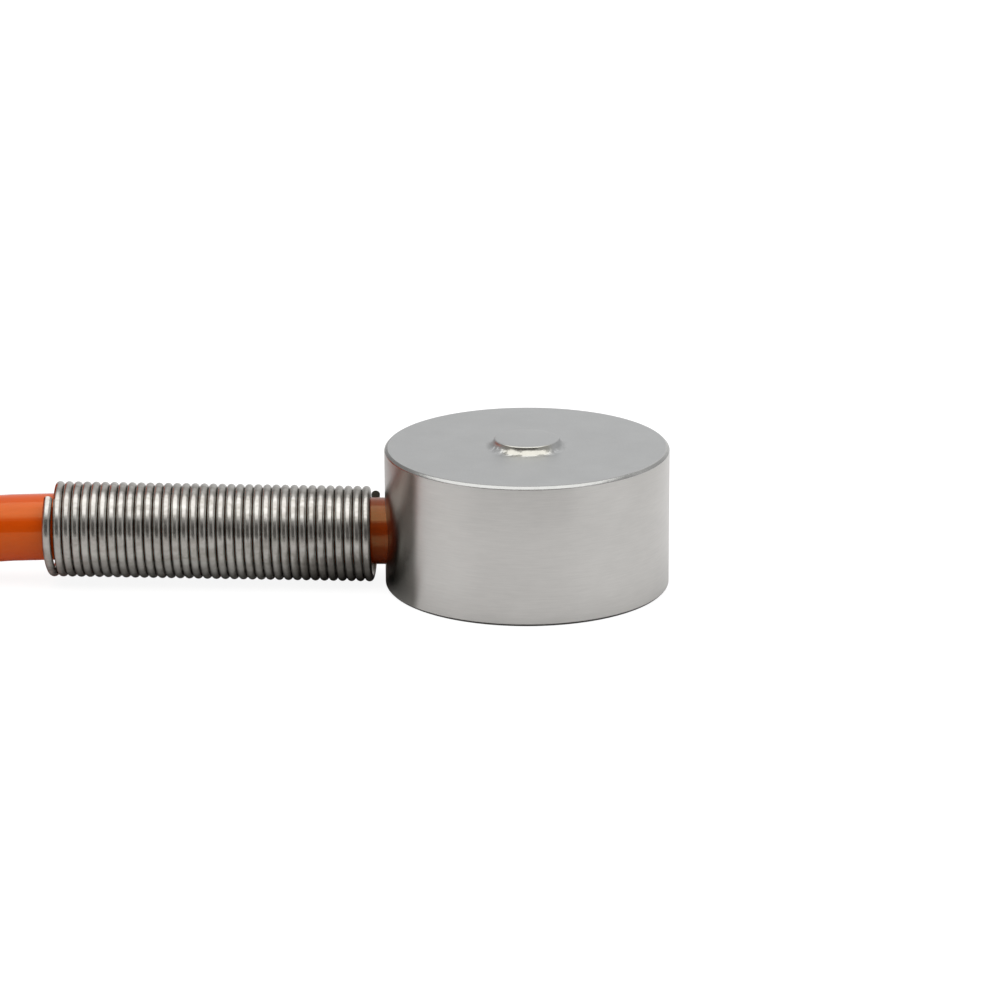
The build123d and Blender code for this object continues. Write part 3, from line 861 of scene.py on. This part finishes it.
def twisted_rings(start, end, radius, lobes, groove, pitch):
    """Rings of strands twisted together between two points: one lobe for each strand."""
    along = (end - start).normalized()
    aside = along.cross(Vector((0, 0, 1))).normalized()
    up = aside.cross(along)
    length = (end - start).length
    rings = []
    for step in range(TWIST_STEPS + 1):
        left = length * (1 - step / TWIST_STEPS)
        ring = []
        for corner in range(STRAND_POINTS * lobes):
            angle = math.tau * corner / (STRAND_POINTS * lobes)
            lobe = abs(math.cos(lobes / 2 * angle))
            turn = angle + math.tau * left / pitch
            reach = radius - groove * (1 - lobe)
            ring.append(end - along * left + (aside * math.cos(turn) + up * math.sin(turn)) * reach)
        rings.append(ring)
    return rings


def finished(name, shape, material, sharp_degrees=35):
    """The shape as a smoothly shaded object."""
    bmesh.ops.recalc_face_normals(shape, faces=shape.faces)
    mesh = as_mesh(name, shape)
    smooth(mesh, sharp_degrees)
    return new_object(name, mesh, material)


def make_tips(tinned):
    """The bare end of each lead: six tinned strands, twisted."""
    shape = bmesh.new()
    for place in LEADS.values():
        before, start = lead_points(*place)[-2:]
        end = start + (start - before).normalized() * TIP_LENGTH
        skin(shape, twisted_rings(start, end, TIP_RADIUS, TIP_STRANDS, TIP_GROOVE, TIP_PITCH))
    return belongs(finished("tinned_tip_strands", shape, tinned), "tinned_copper", "tinned_tips")


def make_tie(plastic):
    """The twist tie: a ribbon bent round the coil, and its ends twisted together."""
    across = coil_place(TIE_ANGLE - 90, 1, 0) - COIL_CENTRE
    count = len(TIE_PATH)
    path = []
    for i, corner in enumerate(TIE_PATH):
        path += eased(TIE_PATH[i - 1], corner, TIE_PATH[(i + 1) % count], TIE_BEND, 6)
    rings = []
    for i, (radius, height) in enumerate(path):
        before, after = path[i - 1], path[(i + 1) % len(path)]
        outward = Vector((after[1] - before[1], before[0] - after[0])).normalized()
        rings.append([
            coil_place(TIE_ANGLE, radius + outward.x * out, height + outward.y * out) + across * side
            for side, out in TIE_SECTION
        ])
    shape = bmesh.new()
    skin(shape, rings, closed=True)
    start, end = [coil_place(TIE_ANGLE, radius, height) for radius, height in TIE_TWIST]
    skin(shape, twisted_rings(start, end, TIE_TWIST_RADIUS, 2, TIE_TWIST_GROOVE, TIE_TWIST_PITCH))
    return belongs(finished("coil_tie_ribbon", shape, plastic, 50), "tie_plastic", "coil_tie")


def smooth_copy(node, material, slot):
    """A merged and smoothly shaded copy of a small CAD node, which it replaces."""
    mesh = nodes[node].data.copy()
    shape = bmesh.new()
    shape.from_mesh(mesh)
    bmesh.ops.remove_doubles(shape, verts=shape.verts, dist=1e-6)
    shape.to_mesh(mesh)
    shape.free()
    mesh.materials.clear()
    piece = new_object(f"{node}_finished", mesh, material)
    smooth(mesh, 35)
    belongs(piece, slot, node)


def make_cable(jacket, on_it):
    """The whole cable, from inside the body through the spring to the end of its coil."""
    points = [Vector(p) for p in CABLE_ROUTE] + coil_points()
    cable = nurbs("cable", points, CABLE_RADIUS, jacket, sides=12, steps=4)
    belongs(cable, "cable_jacket", "cable_run", "cable_coil")


# Stage

# How far the floor is lifted to white where it is seen directly
FLOOR_GLOW = 0.9
# The floor beside the cable at the body, which the wall and the wires mirror darker: its centre in metres,
# and how far the last of its shade and its full shade reach from there along X and Y, in millimetres
SHADED_CENTRE = (-0.008, -0.001, 0)
SHADED_ALONG = (4.0, 1.0)
SHADED_ACROSS = (3.4, 2.6)


def make_stage():
    """A white floor that keeps the object's shadow, a white background and soft studio light."""
    bpy.ops.mesh.primitive_plane_add(size=1.6)
    floor = bpy.context.object
    floor.name = "floor"
    made = bpy.data.materials.new("pale_floor")
    tree = empty_tree(made)
    path = add_node(tree, "ShaderNodeLightPath")
    place = add_node(tree, "ShaderNodeTexCoord").outputs["Object"]
    offset = add_node(tree, "ShaderNodeVectorMath", {0: place, 1: SHADED_CENTRE}, operation="SUBTRACT")
    away = add_node(tree, "ShaderNodeVectorMath", {0: offset.outputs[0]}, operation="ABSOLUTE").outputs[0]
    axes = add_node(tree, "ShaderNodeSeparateXYZ", {"Vector": away}).outputs
    along = between(tree, axes["X"], *SHADED_ALONG)
    across = between(tree, axes["Y"], *SHADED_ACROSS)
    corner = add_node(tree, "ShaderNodeMath", {0: along, 1: across}, operation="MULTIPLY").outputs[0]
    shaded = add_node(tree, "ShaderNodeMix", {"Factor": corner, 6: linear("#E0E0E0"), 7: linear("#9A9896")},
                      data_type="RGBA").outputs[2]
    white = add_node(tree, "ShaderNodeBsdfDiffuse", {"Color": shaded})
    pale = add_node(tree, "ShaderNodeBsdfDiffuse", {"Color": linear("#808080")})
    glow = add_node(tree, "ShaderNodeEmission", {"Color": linear("#FFFFFF"), "Strength": FLOOR_GLOW})
    seen = add_node(tree, "ShaderNodeAddShader", {0: pale.outputs[0], 1: glow.outputs[0]})
    both = add_node(tree, "ShaderNodeMixShader",
                    {"Fac": path.outputs["Is Camera Ray"], 1: white.outputs[0], 2: seen.outputs[0]})
    add_node(tree, "ShaderNodeOutputMaterial", {"Surface": both.outputs[0]})
    floor.data.materials.append(made)
    make_world()
    add_lamp("overhead_softbox", place=(-0.06, -0.06, 0.4), width=0.76, depth=0.49, power=1.6)


# The room below DARK_TOP, in degrees over the horizon, by its bearing in degrees from the front
DARK_TOP = (34, 50)
LOW_ROOM = (
    (-180, "#E4E4E4"), (-150, "#A8A8A8"), (-56, "#AEACAA"), (-42, "#5E5C5A"), (33, "#5A5856"),
    (46, "#C8C8C8"), (110, "#CCCCCC"), (140, "#B0B0B0"), (165, "#E4E4E4"),
)
# The room above it, by the sine of the angle over the horizon
HIGH_ROOM = ((0.0, "#B8B8B8"), (0.16, "#E0E0E0"), (0.3, "#F0F0F0"), (0.55, "#D2D2D2"), (0.8, "#E2E2E2"))


def make_world():
    """White where it is seen, and a pale room that is dark low down in front for everything else."""
    world = bpy.data.worlds.new("studio")
    bpy.context.scene.world = world
    tree = empty_tree(world)
    direction = add_node(tree, "ShaderNodeTexCoord").outputs["Generated"]
    unit = add_node(tree, "ShaderNodeVectorMath", {0: direction}, operation="NORMALIZE").outputs["Vector"]
    axes = add_node(tree, "ShaderNodeSeparateXYZ", {"Vector": unit}).outputs
    ahead = add_node(tree, "ShaderNodeMath", {0: axes["Y"], 1: -1.0}, operation="MULTIPLY").outputs[0]
    bearing = add_node(tree, "ShaderNodeMath", {0: axes["X"], 1: ahead}, operation="ARCTAN2").outputs[0]
    turn = add_node(tree, "ShaderNodeMapRange",
                    {"Value": bearing, "From Min": -math.pi, "From Max": math.pi}).outputs[0]
    shares = [((angle + 180) / 360, colour) for angle, colour in LOW_ROOM]
    low = add_node(tree, "ShaderNodeValToRGB", {"Fac": turn}, shares).outputs["Color"]
    high = add_node(tree, "ShaderNodeValToRGB", {"Fac": axes["Z"]}, HIGH_ROOM).outputs["Color"]
    none, full = [math.sin(math.radians(angle)) for angle in DARK_TOP]
    above = add_node(tree, "ShaderNodeMapRange", {"Value": axes["Z"], "From Min": none, "From Max": full},
                     interpolation_type="SMOOTHSTEP").outputs[0]
    room = add_node(tree, "ShaderNodeMix", {"Factor": above, 6: low, 7: high}, data_type="RGBA").outputs[2]
    path = add_node(tree, "ShaderNodeLightPath")
    seen = add_node(
        tree, "ShaderNodeMix",
        {"Factor": path.outputs["Is Camera Ray"], 6: room, 7: linear("#FFFFFF")}, data_type="RGBA",
    )
    light = add_node(tree, "ShaderNodeBackground", {"Color": seen.outputs[2], "Strength": 1.0})
    add_node(tree, "ShaderNodeOutputWorld", {"Surface": light.outputs[0]})


def add_lamp(name, place, width, depth, power):
    """A rectangular lamp that points down and shows in reflections but not to the camera."""
    lamp = bpy.data.lights.new(name, "AREA")
    lamp.shape = "RECTANGLE"
    lamp.size = width
    lamp.size_y = depth
    lamp.energy = power
    made = bpy.data.objects.new(name, lamp)
    bpy.context.scene.collection.objects.link(made)
    made.location = place
    made.visible_camera = False


# The photograph's camera, in millimetres and degrees
CAMERA_ASIDE = -1.206
CAMERA_TARGET_Z = 3.832
CAMERA_TURN = 1.3
CAMERA_ELEVATION = 17.12
CAMERA_DISTANCE = 190.0
CAMERA_ROLL = -0.214
CAMERA_LENS = 4254 / 1000 * 36


def make_camera():
    """Looks along +Y at the photograph's angle."""
    camera = bpy.data.objects.new("camera", bpy.data.cameras.new("camera"))
    bpy.context.scene.collection.objects.link(camera)
    elevation = math.radians(CAMERA_ELEVATION)
    turn = Matrix.Rotation(math.radians(CAMERA_TURN), 3, "Z")
    back = turn @ Vector((0, -math.cos(elevation), math.sin(elevation)))
    target = turn @ Vector((CAMERA_ASIDE, 0, CAMERA_TARGET_Z))
    camera.location = (target + back * CAMERA_DISTANCE) * MM
    camera.rotation_mode = "QUATERNION"
    roll = Quaternion((0, 0, 1), math.radians(CAMERA_ROLL))
    camera.rotation_quaternion = (-back).to_track_quat("-Z", "Y") @ roll
    camera.data.sensor_width = 36
    camera.data.lens = CAMERA_LENS
    camera.data.clip_start = 0.01
    bpy.context.scene.camera = camera


def main():
    """Builds every piece, the stage and the camera."""
    bpy.context.scene.view_settings.view_transform = "Standard"
    make_camera()
    make_stage()
    insulation = {
        "red": wire_insulation("insulation_red", "#B01A16"),
        "black": wire_insulation("insulation_black", "#17181A"),
        "green": wire_insulation("insulation_green", "#14692E"),
        "white": wire_insulation("insulation_white", "#E2E1DB"),
    }
    tinned = plain_metal("tinned_copper", "#BDBBB4", 0.32)
    jacket = cable_jacket()
    make_body()
    make_cover(turned_wall("rolled_cover", "#B3B1AD", 0.4))
    spring = make_spring(drawn_spring_wire(), wire_end_shade())
    leads = make_leads(insulation, tinned)
    make_cable(jacket, [spring, *leads, make_tie(tie_plastic())])
    film = gauge_film()
    for number in (1, 2, 3, 4):
        smooth_copy(f"strain_gauge_{number}", film, "gauge_film")
    smooth_copy("gauge_ribbons", plain_metal("gilt_ribbon", "#C9904F", 0.3), "ribbon_copper")
    smooth_copy("terminal_board", board_laminate(), "board_laminate")
    resistor = resistor_ceramic()
    smooth_copy("zero_resistor", resistor, "resistor_ceramic")
    smooth_copy("span_resistor", resistor, "resistor_ceramic")
    smooth_copy("solder_joints", plain_metal("bright_solder", "#C4C4C6", 0.18), "solder")
    for name in LEADS:
        smooth_copy(f"core_{name}", insulation[name], f"wire_{name}")
    smooth_copy("cable_ferrule", plain_metal("crimped_brass", "#C79A4B", 0.28), "ferrule_brass")
    smooth_copy("core_seal", seal_resin(), "seal_resin")


main()
